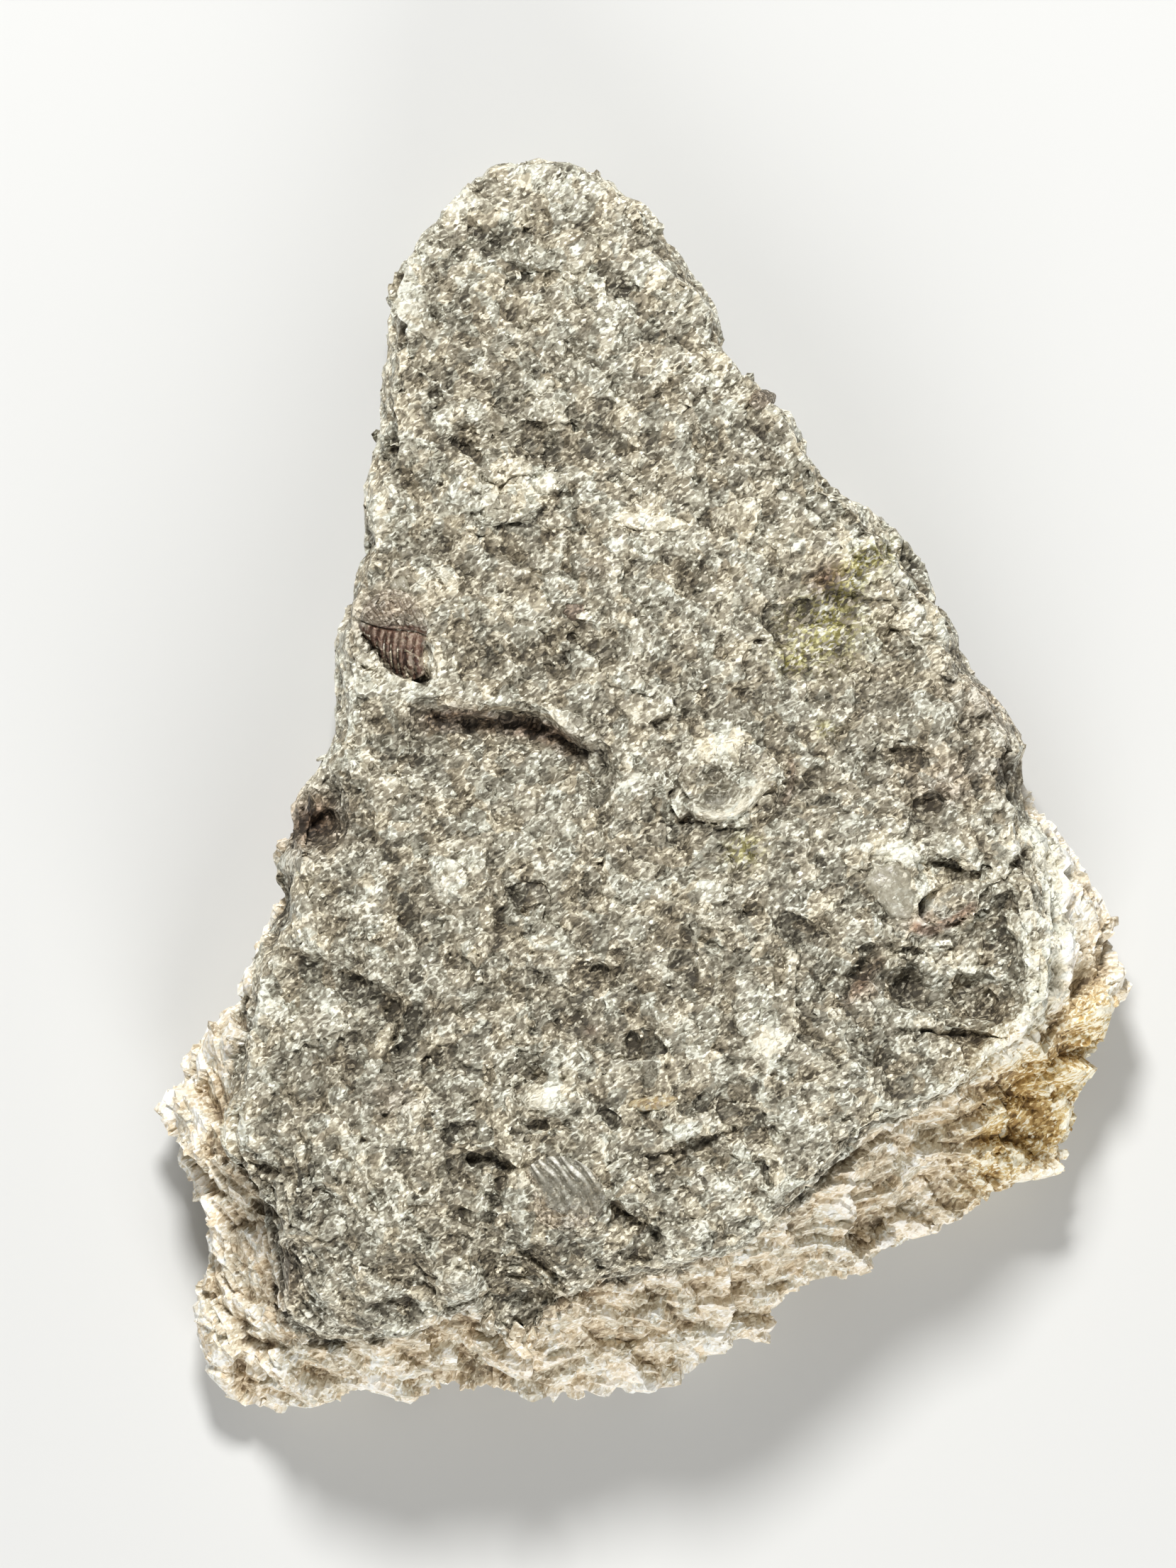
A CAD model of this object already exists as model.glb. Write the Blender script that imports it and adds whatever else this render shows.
# %% [markdown]
# # A trilobite fossil in its stone
#
# The object is a broken hand specimen of shelly limestone, lying on its back. Its face is crowded with
# broken shells and grains, and a ribbed trilobite tail stands out near the left edge. A natural thing
# like this has no straight line to start from, so the lesson grows it from coarse to fine: the packed
# stone first, then its breaks, then its crumbs and crystals, and last the colours.
#
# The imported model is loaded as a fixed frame. Its box is kept, so that the finished stone can be
# measured against it. The load leaves every node selected, and so the first thing is to select nothing.

import math

import bpy
import numpy as np
from mathutils import Matrix, Vector, noise
from mathutils.bvhtree import BVHTree


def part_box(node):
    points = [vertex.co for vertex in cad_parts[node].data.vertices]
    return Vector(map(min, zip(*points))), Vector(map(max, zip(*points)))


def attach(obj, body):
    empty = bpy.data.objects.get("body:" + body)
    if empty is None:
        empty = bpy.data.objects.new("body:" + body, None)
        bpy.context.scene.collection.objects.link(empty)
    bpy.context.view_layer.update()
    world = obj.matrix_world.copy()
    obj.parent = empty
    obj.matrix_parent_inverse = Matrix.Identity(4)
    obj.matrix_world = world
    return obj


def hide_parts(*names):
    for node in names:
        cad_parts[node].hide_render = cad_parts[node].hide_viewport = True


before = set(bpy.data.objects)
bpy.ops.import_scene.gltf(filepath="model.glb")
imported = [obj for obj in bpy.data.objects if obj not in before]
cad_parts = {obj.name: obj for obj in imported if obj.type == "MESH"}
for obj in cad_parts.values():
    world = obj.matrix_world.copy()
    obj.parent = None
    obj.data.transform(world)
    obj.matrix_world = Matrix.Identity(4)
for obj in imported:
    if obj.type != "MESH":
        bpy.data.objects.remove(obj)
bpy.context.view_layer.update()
bpy.ops.object.select_all(action="DESELECT")
MM = 0.001
print("nodes:", ", ".join(sorted(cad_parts)))

# %% [markdown]
# Places on the face were measured on the photograph, in millimetres from a point near its middle.
# That point lies a little off the middle of the stone's box, which is where the model has its origin.
# One helper turns a list of such places into the model's own, so the lists can stay as they were read.

# %% From places on the photograph to places on the stone
PHOTO_ZERO = np.array((0.617, 0.4))


def placed(points):
    """Places on the stone's face, in millimetres, for a list of places on the photograph."""
    return np.array(points, float) - PHOTO_ZERO


# %% [markdown]
# Every piece is an ordinary mesh object. These helpers select one piece, apply its modifiers by hand
# as a modeller would, and read and write its points in millimetres, which are easier to think in.

# %% Working on one piece
def choose(obj):
    bpy.ops.object.select_all(action="DESELECT")
    obj.select_set(True)
    bpy.context.view_layer.objects.active = obj


def apply_modifiers(obj):
    choose(obj)
    for modifier in list(obj.modifiers):
        bpy.ops.object.modifier_apply(modifier=modifier.name)


def read_points(obj, what="co"):
    values = np.empty(len(obj.data.vertices) * 3)
    obj.data.vertices.foreach_get(what, values)
    return values.reshape(-1, 3) / (MM if what == "co" else 1)


def write_points(obj, points):
    obj.data.vertices.foreach_set("co", (points * MM).reshape(-1))
    obj.data.update()


def note(obj):
    obj.data.calc_loop_triangles()
    print(f"{obj.name}: {len(obj.data.loop_triangles)} triangles")


# %% [markdown]
# The real stone broke out of its bed as one lump, so one mesh makes it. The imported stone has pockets
# for its fossils. Here they are filled again: each fossil's solid is copied, made a little wider and
# set a little lower, and joined to the stone. A voxel remesh then fuses them into one skin of even
# small faces, which is what the breaks and crumbs need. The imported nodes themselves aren't touched.

# %% The stone's own lump
VOXEL = 0.46
FILL_WIDER = 0.5
FILL_LOWER = 0.45


def copy_of(node):
    copied = bpy.data.objects.new(node + "_copy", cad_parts[node].data.copy())
    bpy.context.scene.collection.objects.link(copied)
    choose(copied)
    bpy.ops.object.mode_set(mode="EDIT")
    bpy.ops.mesh.select_all(action="SELECT")
    bpy.ops.mesh.remove_doubles(threshold=0.000001)
    bpy.ops.object.mode_set(mode="OBJECT")
    return copied


stone = copy_of("limestone_matrix")
stone.name = "limestone"
fillers = []
for node in ("trilobite_tail", "ribbed_shell", "crescent_shell", "lens_shell", "hollow_shell"):
    filler = copy_of(node)
    points = read_points(filler)
    middle = (points.min(axis=0) + points.max(axis=0)) / 2
    half = (points.max(axis=0) - points.min(axis=0)) / 2
    wider = 1 + FILL_WIDER / half
    wider[2] = 1
    write_points(filler, middle + (points - middle) * wider - (0, 0, FILL_LOWER))
    fillers.append(filler)
choose(stone)
for filler in fillers:
    filler.select_set(True)
bpy.ops.object.join()
remesh = stone.modifiers.new("skin", "REMESH")
remesh.mode = "VOXEL"
remesh.voxel_size = VOXEL * MM
ease = stone.modifiers.new("ease", "SMOOTH")
ease.factor = 0.5
ease.iterations = 4
stone.modifiers.new("triangles", "TRIANGULATE")
apply_modifiers(stone)
note(stone)

# %% [markdown]
# A rock face is shaped by a few kinds of marks: steps, where a layer has broken off, grooves, ridges,
# and lumps or pits. Each kind is a small function of the place on the face, in whole arrays at once,
# so all the points of the skin can be moved in one go. A line's own distance is what they share.

# %% Marks on a rock face
def smoothstep(low, high, value):
    t = np.clip((value - low) / (high - low), 0, 1)
    return t * t * (3 - 2 * t)


def line_field(x, y, line):
    """For each point: its distance from the line, below zero on the left side, and how far along it is."""
    corners = placed(line)
    steps = np.diff(corners, axis=0)
    lengths = np.hypot(*steps.T)
    walked = np.concatenate([[0], np.cumsum(lengths)])
    nearest = np.full(x.shape, np.inf)
    side = np.ones(x.shape)
    along = np.zeros(x.shape)
    for start, step, length, before in zip(corners, steps, lengths, walked):
        dx = x - start[0]
        dy = y - start[1]
        t = np.clip((dx * step[0] + dy * step[1]) / length**2, 0, 1)
        distance = np.hypot(dx - t * step[0], dy - t * step[1])
        closer = distance < nearest
        nearest = np.where(closer, distance, nearest)
        side = np.where(closer, np.where(step[0] * dy - step[1] * dx > 0, -1, 1), side)
        along = np.where(closer, (before + t * length) / walked[-1], along)
    return nearest * side, along


def tapered(along):
    return smoothstep(0, 0.15, along) * (1 - smoothstep(0.85, 1, along))


def step_mark(x, y, line, drop, reach):
    """The ground drops sharply on the right of the line and climbs back over the reach."""
    distance, along = line_field(x, y, line)
    return -drop * tapered(along) * smoothstep(-0.35, 0.35, distance) * np.exp(-np.maximum(distance, 0) / reach)


def ridge_mark(x, y, line, height, half_width):
    """A ridge along the line, or a groove when the height is below zero."""
    distance, along = line_field(x, y, line)
    return height * tapered(along) * np.exp(-((distance / half_width) ** 2))


def lump_mark(x, y, cx, cy, half_length, half_width, turn, height):
    angle = math.radians(turn)
    cx, cy = placed((cx, cy))
    along = (x - cx) * math.cos(angle) + (y - cy) * math.sin(angle)
    across = (y - cy) * math.cos(angle) - (x - cx) * math.sin(angle)
    return height * np.exp(-((along / half_length) ** 2) - (across / half_width) ** 2)


# %% [markdown]
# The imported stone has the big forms. What it lacks are the sharp lips of its ledges, the cracks beside
# the fossils and the small shells' edges, so they are listed here by hand, each where the photograph
# shows it. A point is moved along Z only, and only as far as its surface looks up.

# %% Sharper ledges, cracks and ridges
LEDGE = (
    (-27.8, 9.2), (-25.4, 8.9), (-22.4, 9.2), (-19.9, 9.3), (-15.4, 8.8), (-12.9, 8.6), (-10.9, 7.8), (-8.9, 6.5),
    (-6.9, 5.4), (-3.9, 4.6),
)
STEPS = (
    (LEDGE, 1.9, 3.6),
    (((-4, -48.7), (-1, -51), (3, -52.6)), 1.3, 2.5),
    (((-0.6, -44.4), (5, -42), (12, -40.6)), 0.9, 2.0),
    (((9.5, -43.4), (13, -44), (17, -45.1)), 0.8, 2.0),
    (((-23, -43.8), (-18, -44), (-15, -46)), 0.9, 2.2),
    (((31.6, -8.7), (35.5, -7.7), (39, -8.2)), 1.5, 2.5),
    (((31, -17.8), (29.6, -20.3), (26, -24), (23.7, -26.7)), 1.0, 3.0),
    (((33, -17), (36.5, -16.6), (40, -14.8)), 0.9, 1.5),
    (((7, -4.9), (9.5, -4.7), (11.5, -4.8), (14.1, -4.1), (16, -2.9)), 0.7, 2.0),
    (((-18.4, 31.6), (-13.4, 31.9), (-10.6, 34.0), (-9.2, 36.8)), 1.5, 1.8),
    (((-36, -2.6), (-38, -1.8), (-40.5, -2.4)), 0.9, 1.8),
    (((28.4, 18.8), (32, 19.6), (36, 17.2)), 0.8, 2.5),
)
GROOVES = (
    (((-20.9, -44.2), (-17.8, -44), (-16.1, -45.5), (-14.4, -45.9)), -1.5, 0.38),
    (((-15.9, -45.9), (-17.2, -47.7), (-18, -50.1), (-18.1, -52.8)), -1.0, 0.4),
    (((-3.8, -49.1), (-1.4, -50.6), (1.2, -52.2)), -1.4, 0.5),
    (((-33.7, 14.6), (-31.7, 13.9), (-30.9, 12.8)), -0.8, 0.25),
    (((29.4, -29.0), (33.6, -29.2), (39.3, -30), (43.6, -29.8), (47.4, -29.0)), -1.9, 0.6),
    (((40.2, -14.6), (41.7, -11.8), (43.8, -10.6), (46.3, -7.8), (47.8, -6.4)), -1.6, 0.6),
    (((3.2, -1.0), (4.2, -1.3), (5.4, -1.2)), -0.8, 0.35),
    (((-15.7, -27), (-15.2, -30), (-14, -33.2)), -0.9, 0.45),
    (((29.4, -19.8), (31.8, -19.4), (34.4, -20.2)), -1.2, 0.5),
    (((36.4, -25.6), (39.2, -23.6), (42.6, -22.6)), -0.7, 0.4),
    (((37.2, -22.4), (39.6, -23.8), (42.4, -25.8)), -0.6, 0.4),
    (((-47.6, -51), (-44, -49.6), (-42.8, -46)), -1.4, 0.9),
    (((-46, -57), (-43.6, -60.4), (-43.2, -65)), -1.2, 0.8),
    (((-40.6, -66.4), (-36.5, -66.8), (-31.4, -66.4)), -1.1, 0.7),
    (((-40, -68.6), (-38, -68.2), (-35.6, -68.8)), -0.8, 0.5),
    (((16.9, 4), (17.6, 2), (17.2, -0.3), (16.4, -2.2)), -0.5, 0.25),
)
RIDGES = (
    (((-41.4, -42.6), (-40.8, -47), (-40.8, -52.6)), 0.8, 0.5),
    (((-39.6, -43), (-39, -47.6), (-39, -53.4)), 0.6, 0.5),
    (((-38, -44), (-37.4, -48), (-37.2, -52)), 0.4, 0.4),
    (((16.2, 4.6), (17, 2.2), (16.8, -0.4), (15.8, -2.4)), 0.4, 0.3),
    (((-41.5, -11.3), (-40.5, -15), (-40.8, -18.8)), 0.9, 0.6),
    (((43.6, -14), (44.2, -16.6), (46.6, -19.6)), 0.8, 0.5),
    (((4.6, -47.4), (8.4, -46.4), (12, -48.6)), 0.7, 0.6),
    (((10, -54.8), (15, -53.6), (20, -54.2)), 0.6, 0.7),
    (((-42.6, -29), (-39.6, -26.6), (-36, -27), (-33.6, -30)), 0.6, 0.5),
    (((-44, -32), (-40.4, -30), (-36.8, -31)), 0.5, 0.5),
    (((26.4, -24.6), (28.8, -26), (33.6, -26.4)), 0.5, 0.6),
    (((48.8, -6), (50.4, -12), (51.2, -18), (50, -25)), 0.7, 1.0),
)
LUMPS = (
    (-26.4, 5.8, 2.0, 2.6, 0, 0.9),
    (-21, 6.7, 5.4, 1.9, 0, -0.5),
    (-12.6, 6.2, 4.4, 1.4, -12, -0.3),
    (-29.8, 7.2, 2.6, 4.6, 0, -0.6),
    (-4.4, 3.2, 2.0, 1.2, -20, 0.9),
    (-39.2, -4.4, 2.3, 2.0, 20, -1.6),
    (-36.4, 0.6, 1.0, 2.6, 30, 0.8),
    (-22.2, 40.8, 1.7, 1.5, 20, 0.9),
    (44.6, -16.2, 1.7, 2.4, 30, 0.9),
    (-14.2, 61.9, 1.5, 1.0, 15, -0.4),
    (-9.8, 61.8, 1.4, 0.8, -10, -0.5),
    (-12.3, -34.6, 1.3, 0.9, 0, -0.7),
    (33, -20.6, 3.2, 2.4, 0, 1.1),
    (40, -20.6, 3.4, 3.2, 0, 1.2),
    (28.8, -12, 2.4, 2.6, 0, 0.8),
    (32.4, 16.2, 1.6, 1.0, 20, -0.9),
    (41.6, 8, 1.8, 1.1, 35, -1.1),
    (31, 3.6, 2.6, 0.9, -10, -0.9),
    (34.6, -2, 1.6, 0.8, 10, -0.9),
    (-46, -46.8, 2.4, 1.6, -50, -1.2),
    (4.8, 24, 1.6, 1.2, 0, 0.5),
    (-3, 14, 1.4, 1.1, 30, 0.5),
    (17, 30, 1.6, 1.0, 10, 0.6),
    (-20, 50, 1.2, 1.4, 0, 0.5),
    (-4, -12, 2.0, 1.4, 40, 0.7),
    (20, -15, 2.2, 1.5, -30, 0.8),
    (-24, -24, 2.2, 1.4, 20, 0.7),
    (3, -27, 2.4, 1.5, -10, 0.8),
    (-30, -5, 2.0, 1.2, 50, 0.6),
    (27, -33, 3.0, 1.6, 25, 0.8),
)


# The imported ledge's ends lie a little off those in the photograph. Each: place, reach, and the way to go.
NUDGES = (
    (-22.0, 10.2, 3.6, 0.0, -0.8),
    (-16.5, 9.8, 3.6, 0.0, -1.0),
)


def nudged(x, y):
    """Places shifted sideways near each of the nudges."""
    to_x, to_y = x.copy(), y.copy()
    for cx, cy, reach, dx, dy in NUDGES:
        pull = lump_mark(x, y, cx, cy, reach, reach, 0, 1.0)
        to_x += dx * pull
        to_y += dy * pull
    return to_x, to_y


# Around the ledge and the fossils nothing is broken at random. Each: place and reach.
CALM = (
    (-24, 8, 4.5), (-18.5, 7.5, 4.5), (-13, 6.5, 4.5), (-8, 5, 4), (-30, 18, 7), (-9.4, -48.2, 6.5),
    (11.2, -0.4, 7), (-15.2, 34, 5),
)


def calm(x, y):
    total = np.zeros(len(x))
    for cx, cy, reach in CALM:
        total += lump_mark(x, y, cx, cy, reach, reach, 0, 1.0)
    return np.clip(total, 0, 1)


def broken_edges(count, seed):
    """Short curved edges where a thin layer has broken off, mostly facing the foot and the right."""
    rng = np.random.default_rng(seed)
    edges = []
    for _ in range(count):
        middle = np.array((rng.uniform(-50, 52), rng.uniform(-66, 74)))
        length = rng.uniform(2, 9)
        heading = math.radians(rng.normal(22, 32))
        bow = rng.uniform(-0.25, 0.25) * length
        ahead = np.array((math.cos(heading), math.sin(heading)))
        aside = np.array((-ahead[1], ahead[0]))
        line = [middle + s * length / 2 * ahead + (1 - s * s) * bow * aside for s in (-1, -0.4, 0.3, 1)]
        edge = (line, rng.uniform(0.3, 1.0), rng.uniform(0.8, 2.6))
        if calm(*placed([middle]).T)[0] < 0.35:
            edges.append(edge)
    return edges


def near(x, y, line, margin):
    """Which places are near enough to the line to be moved by its mark."""
    low = placed(line).min(axis=0) - margin
    high = placed(line).max(axis=0) + margin
    return np.flatnonzero((x > low[0]) & (x < high[0]) & (y > low[1]) & (y < high[1]))


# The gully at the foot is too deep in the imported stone.
GULLY = (-13.4, -60.4, 5.6, 5.0)  # place and half sizes
GULLY_LEVEL = 33.2
GULLY_CLIMB = 0.75  # towards the tip


def filled(x, y, z):
    """How far each point is raised to give the gully a shallow sloping floor."""
    inside = np.clip(2 * lump_mark(x, y, *GULLY, 0, 1.0), 0, 1) * (z > 24)
    wanted = GULLY_LEVEL + GULLY_CLIMB * (y - placed(GULLY[:2])[1])
    return inside * np.maximum(wanted - z, 0)


WALLS_OUT = 1.5  # how far the walls' upper parts around the narrow tip are moved out, to stand steeper


def carve(points, normals):
    x, y, z = points.T
    up = smoothstep(0.15, 0.6, normals[:, 2]) * smoothstep(12, 18, z)
    out = WALLS_OUT * smoothstep(14, 21, z) * (1 - smoothstep(0.35, 0.75, normals[:, 2])) * smoothstep(12, 25, y)
    x, y = nudged(x + out * normals[:, 0], y + out * normals[:, 1])
    total = np.zeros(len(x))
    for line, drop, reach in (*STEPS, *broken_edges(230, 21)):
        here = near(x, y, line, 1 + 4 * reach)
        total[here] += step_mark(x[here], y[here], line, drop, reach)
    for line, height, half_width in GROOVES + RIDGES:
        here = near(x, y, line, 3 * half_width)
        total[here] += ridge_mark(x[here], y[here], line, height, half_width)
    for values in LUMPS:
        total += lump_mark(x, y, *values)
    z = z + filled(x, y, z)
    return np.stack([x, y, z + up * total], axis=1)


write_points(stone, carve(read_points(stone), read_points(stone, "normal")))
print("marks carved:", len(STEPS) + len(GROOVES) + len(RIDGES) + len(LUMPS))

# %% [markdown]
# Broken limestone isn't smoothly bumpy: it breaks along small crystals, so it is made of tilted facets
# of every size. A Voronoi pattern gives that. Inside one of its cells, the height is a plane with a
# random tilt. Three sizes of cells are laid over each other, and each is pushed along the normal. The
# sole keeps calm, because the stone rests on it.

# %% Crumbly facets of three sizes
CRUMBS = ((7.0, 0.85, 2.3), (3.0, 0.45, 7.9), (1.2, 0.34, 4.1))
SPAR_CRUMBS = ((7.5, 1.9, 5.5), (3.4, 0.8, 1.7), (1.2, 0.2, 9.4))
TERRACES = ((9.0, 3.4, 0.42, 6.1), (4.6, 3.0, 0.24, 2.7))  # size, steps, height of a step, seed


def facets(points, size, seed):
    """About -1 to 1: each cell of the pattern is a small plane with a tilt of its own."""
    offset = Vector((seed, -seed, 2 * seed))
    values = []
    for point in points:
        place = Vector(point) / size + offset
        corner = noise.voronoi(place)[1][0]
        values.append(noise.cell_vector(corner * 7).dot(place - corner))
    return np.array(values)


def unevenness(points, size, seed):
    offset = Vector((seed, seed, -seed))
    return np.array([noise.noise(Vector(point) / size + offset) for point in points])


def terraces(points, size, steps, height, seed):
    """Thin layers broken off along wandering lines: smooth unevenness cut into steps."""
    level = steps * unevenness(points, size, seed)
    whole = np.floor(level)
    return height * (whole + smoothstep(0.78, 1.0, level - whole))


# %% [markdown]
# Two beds show in the stone. The grey one is full of shell grains. The pale one beneath it is coarse
# crystals, and comes out beyond the grey bed's lower edge. That edge is a line on the photograph, and a
# wavering height on the walls. The mask made from it is used for the breaks here and the colours later.

# %% Where the pale crystal bed shows
GREY_EDGE = (
    (47.6, 6), (49.6, -8), (51.4, -18), (50.4, -25), (47, -29), (43, -31.5), (38, -36.5), (29, -40.5),
    (21, -48), (12, -55.5), (5, -58), (-5, -59), (-9, -61.5), (-15, -66), (-20, -62), (-30, -66.6),
    (-39.5, -66.5), (-43, -63), (-44.5, -52), (-47.3, -47), (-50.6, -43), (-48.7, -35), (-47.6, -25),
    (-45.6, -14), (-46, 2),
)
BED_TOP = 15.5
BED_DIP = 22.0  # how much lower the pale bed lies under the narrow tip


def crystal_bed(points):
    """1 where the pale crystals show and 0 on the grey bed."""
    x, y, z = points.T
    waver = 1.6 * unevenness(points, 5.0, 3.3) + 0.7 * unevenness(points, 1.7, 8.2)
    outside = -line_field(x, y, GREY_EDGE)[0]
    below = BED_TOP - BED_DIP * smoothstep(-4, 14, y) + 2 * waver - z
    return np.maximum(smoothstep(-0.5, 0.5, outside + waver), smoothstep(-0.8, 0.8, below))


points = read_points(stone)
normals = read_points(stone, "normal")
spar = crystal_bed(points)
rough = smoothstep(0.0, 1.2, points[:, 2])
push = np.zeros(len(points))
for grey_layer, spar_layer in zip(CRUMBS, SPAR_CRUMBS):
    push += (1 - spar) * grey_layer[1] * facets(points, grey_layer[0], grey_layer[2])
    push += spar * spar_layer[1] * facets(points, spar_layer[0], spar_layer[2])
for values in TERRACES:
    push += (1 - spar) * terraces(points, *values)
push *= 1 - 0.2 * calm(points[:, 0], points[:, 1])
push *= spar + (1 - spar) * (0.55 + 0.45 * smoothstep(0.1, 0.5, normals[:, 2]))
points += normals * (push * rough)[:, None]
points[:, 2] = np.maximum(points[:, 2], 0)
write_points(stone, points)
print(f"facets pushed {push.min():.2f} to {push.max():.2f} mm")

# %% [markdown]
# The skin has more faces than a piece should have. Most of them are spent on the walls and the sole,
# where nobody looks closely, so those alone are thinned first. Decimate collapses only edges whose ends
# are both in its vertex group.

# %% Thinner walls and sole
FACE_UP = 0.35
STONE_TRIANGLES = 190000


def thin(obj, triangles, group=None):
    modifier = obj.modifiers.new("thin", "DECIMATE")
    modifier.ratio = min(triangles / len(obj.data.polygons), 1)
    modifier.use_collapse_triangulate = True
    if group:
        modifier.vertex_group = group
    apply_modifiers(obj)


low = np.flatnonzero((read_points(stone, "normal")[:, 2] < FACE_UP) | (read_points(stone)[:, 2] < 4))
stone.vertex_groups.new(name="walls").add(low.tolist(), 1.0, "REPLACE")
thin(stone, STONE_TRIANGLES, "walls")
stone.vertex_groups.clear()
note(stone)

# %% [markdown]
# Colours on a real stone come in patches: a rusty stain, a mossy one, a white rim. Each patch is one or
# more soft ellipses on the face, added up and stored as an attribute of the mesh, which the materials
# read later. Grains and crystals that are laid on the stone read the same patches.

# %% Patches of colour
PATCHES = {
    "ochre": (
        (49, -37, 8, 7, 40, 1.3), (44.6, -42.6, 6, 4, 35, 0.9), (54.6, -28, 3.4, 4, 0, 1.1),
        (41, -48, 5, 2.4, 30, 0.5), (-50, -40, 2.4, 4, 0, 0.2),
    ),
    "moss": (
        (21.8, 18.8, 4.6, 4.0, 30, 1.0), (27.6, 27.4, 3.4, 1.5, 20, 1.0), (18, 15, 1.6, 1.2, 0, 0.9),
        (12.4, -7.6, 2.2, 1.7, 20, 0.9), (22, 7, 1.2, 1.0, 0, 0.7), (24.5, 24, 3, 2, 40, 0.7),
    ),
    "white": (
        (49.6, -12, 2.2, 6.0, 8, 1.0), (48.6, -23, 2.4, 4.6, -8, 1.0), (46.4, -6, 2.4, 2.4, 0, 0.9),
        (9.4, 5, 3.4, 1.5, 10, 1.1), (-15, 35.4, 5, 3.4, 10, 0.3), (0, 32, 6, 2.2, -8, 0.7),
        (37, -19, 7, 6, 0, 0.4), (39, -23.5, 5.5, 3.4, 0, 0.5), (-11.6, -36.4, 3.6, 2.2, 15, 0.8), (15.7, -30.6, 1.9, 1.9, 0, 1.1), (29.6, -7.4, 3.2, 1.5, -15, 1.1),
        (34.8, -12, 1.6, 3.2, 0, 0.6),
        (-24.6, 25, 2.4, 1.6, 0, 0.5), (-19, -10, 8, 3, 20, 0.2), (36, -37, 6, 3, 30, 0.3),
        (-6, 47, 8, 3, 0, 0.25), (15, 30, 8, 5, 40, 0.25), (-26, 14.6, 1.6, 1.4, 0, 0.5),
        (-37, 11, 3.4, 6, -20, 0.6), (-43.6, -47, 1.2, 2, 0, 0.2), (-33, -47.5, 1.6, 1.4, 0, 0.5),
    ),
    "rust": (
        (-30.5, 20.6, 4.4, 3.6, 20, 0.4), (-39.2, -4.2, 3.6, 3.0, 20, 1.0), (22.2, 24.8, 2.4, 1.5, 30, 1.0),
        (-6, -29, 0.9, 0.7, 0, 0.8), (41, 10, 5, 3, -40, 0.35), (38, 2, 8, 3, 0, 0.3),
        (36, -1, 3, 1.5, 0, 0.3), (27, -24, 1.8, 1.4, 0, 0.5), (33.4, -16, 2.4, 1.2, 20, 0.5),
        (-12.4, 6.8, 6, 1.4, -12, 0.4), (-23, 8.6, 4, 1.4, 0, 0.4), (-30, -37, 3, 2, 0, 0.3),
        (-6, 26, 2, 1.4, 0, 0.3), (-42, -58, 1.2, 4, 0, 0.35),
    ),
    "dark": (
        (-14, -60, 5, 6, 0, 0.2), (-46.4, -47.4, 3, 3, 0, 0.5), (-22.4, 41.4, 1.8, 1.2, 0, 0.6),
        (-41.6, -60, 2.4, 6, -5, 0.45), (-33, -60, 9, 7, 0, 0.2), (38, -27, 7, 2.4, -8, 0.3),
        (34, -10.6, 3.6, 1.6, 0, 0.3), (-33, -14, 8, 10, 0, 0.15), (33, 16, 4, 2, 0, 0.3),
        (38, 5, 6, 3, 0, 0.2), (-8, -55, 8, 3, 0, 0.3), (3, -51, 5, 3, -20, 0.3),
        (-28, -33, 14, 5, 10, 0.2), (34, -3, 5, 2, 0, 0.25),
    ),
}


# Stripes beside a line: dirt under a ledge, a white rim, a vein. Each: line, from, to, and amount.
STRIPES = {
    "ochre": (),
    "moss": (),
    "white": (
        (((45.6, -4), (48.6, -9), (50.2, -14), (50.6, -20), (49, -26), (44.6, -30.6), (39, -34.6)),
         -1.6, 1.4, 0.8),
        (((15.6, -32), (15.0, -34.4), (14.4, -36), (14.3, -39)), -0.3, 0.3, 1.3),
        (((25.8, -10), (28.4, -8.0), (32.4, -8.0), (34.6, -10.6), (34.4, -15.6), (31, -17)), -0.5, 0.5, 1.2),
        (((-12, 9.2), (-8, 7.3), (-5.4, 5.8), (-3, 4.4)), -0.5, 0.6, 0.4),
    ),
    "rust": (
        (LEDGE, 0.1, 2.6, 0.45),
        (((31.6, -16.6), (34.4, -17.4), (38, -15.8), (40.6, -13.6)), -0.7, 0.5, 0.7),
        (((24.4, -27), (27, -23.4), (29.8, -20.6)), -1.4, 0.0, 0.5),
        (((17.6, 4), (18.1, 1.9), (17.7, -0.6), (16.8, -2.6)), -0.5, 0.3, 0.6),
    ),
    "dark": (
        (((-27.8, 9.2), (-25.4, 8.9), (-22.4, 9.2), (-19.9, 9.3), (-15.4, 8.8)), 0.1, 2.6, 0.15),
        (((-18.4, 31.6), (-13.4, 31.9), (-10.6, 34.0), (-9.2, 36.8)), 0.0, 0.9, 1.1),
        (((6.8, -5.1), (9.5, -5.0), (11.5, -5.0), (14.1, -4.3), (16.4, -2.4)), -0.6, 0.9, 0.6),
        (((29.4, -29.1), (39.3, -30.1), (47.4, -29.1)), -0.5, 0.5, 0.6),
    ),
}


def patch(name, x, y):
    total = np.zeros(len(x))
    for values in PATCHES[name]:
        total += lump_mark(x, y, *values)
    for line, start, end, amount in STRIPES[name]:
        here = near(x, y, line, 1 + max(-start, end))
        distance, along = line_field(x[here], y[here], line)
        begun = smoothstep(start - 0.25, start + 0.25, distance)
        total[here] += amount * tapered(along) * begun * (1 - smoothstep(end - 0.3, end + 0.4, distance))
    return np.clip(total, 0, 1.3)


def store(obj, name, values):
    attribute = obj.data.attributes.new(name, "FLOAT", "POINT")
    attribute.data.foreach_set("value", np.asarray(values, np.float32))


def store_patches(obj, points):
    for name in PATCHES:
        store(obj, name, patch(name, points[:, 0], points[:, 1]))


points = read_points(stone)
store_patches(stone, points)
store(stone, "spar", crystal_bed(points))
print("patches:", ", ".join(PATCHES))

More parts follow.
